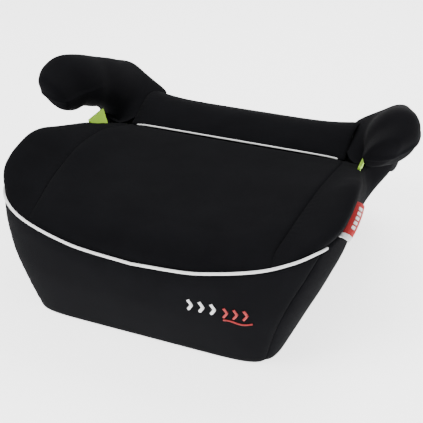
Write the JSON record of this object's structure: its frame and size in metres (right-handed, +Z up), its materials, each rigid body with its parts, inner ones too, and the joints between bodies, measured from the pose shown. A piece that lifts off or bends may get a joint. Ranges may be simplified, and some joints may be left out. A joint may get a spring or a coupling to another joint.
{
  "type": "booster seat",
  "caption": "Backless child booster seat with hooked padded armrests, belt guides under them, a dished seat, rear roll and piped fabric cover over a ribbed shell.",
  "frame": {"origin": "on the ground under the middle of the seat's outer box", "axes": "+X to the right as seen from the front, +Y to the rear, +Z up; the child faces -Y"},
  "size_m": [0.455, 0.3776, 0.1915],
  "materials": {
    "black_fabric": "padded woven polyester, matt with a faint sheen",
    "black_lining": "plain woven lining, matt",
    "white_piping": "corded piping, satin",
    "foam": null,
    "shell_plastic": "moulded polypropylene, fine texture",
    "green_plastic": "moulded polypropylene, satin",
    "screw_steel": "zinc plated",
    "foot_rubber": "soft rubber, matt",
    "label_red": "woven ribbon label",
    "emblem_thread": "embroidered thread",
    "hem_elastic": "flat knitted elastic",
    "hook_plastic": "moulded acetal"
  },
  "bodies": {
    "root": {"armrest_core_left": "shell_plastic", "armrest_core_right": "shell_plastic", "armrest_foam_left": "foam", "armrest_foam_right": "foam", "armrest_screws": "screw_steel", "armrest_sleeve_left": "black_fabric", "armrest_sleeve_right": "black_fabric", "back_roll_foam": "foam", "belt_guide_left": "green_plastic", "belt_guide_right": "green_plastic", "belt_guide_screws": "screw_steel", "bolster_foam_left": "foam", "bolster_foam_right": "foam", "cover_back_roll": "black_fabric", "cover_bolster_left": "black_fabric", "cover_bolster_right": "black_fabric", "cover_front_skirt": "black_fabric", "cover_hem_band": "black_lining", "cover_hooks": "hook_plastic", "cover_rear_corner_left": "black_fabric", "cover_rear_corner_right": "black_fabric", "cover_rear_skirt": "black_fabric", "cover_seat_panel": "black_fabric", "cover_side_skirt_left": "black_fabric", "cover_side_skirt_right": "black_fabric", "foot_front_left": "foot_rubber", "foot_front_right": "foot_rubber", "foot_rear_left": "foot_rubber", "foot_rear_right": "foot_rubber", "front_emblem": "emblem_thread", "hem_elastic": "hem_elastic", "piping_front": "white_piping", "piping_rear": "white_piping", "seat_foam": "foam", "seat_shell": "shell_plastic", "side_label": "label_red"}
  },
  "joints": []
}
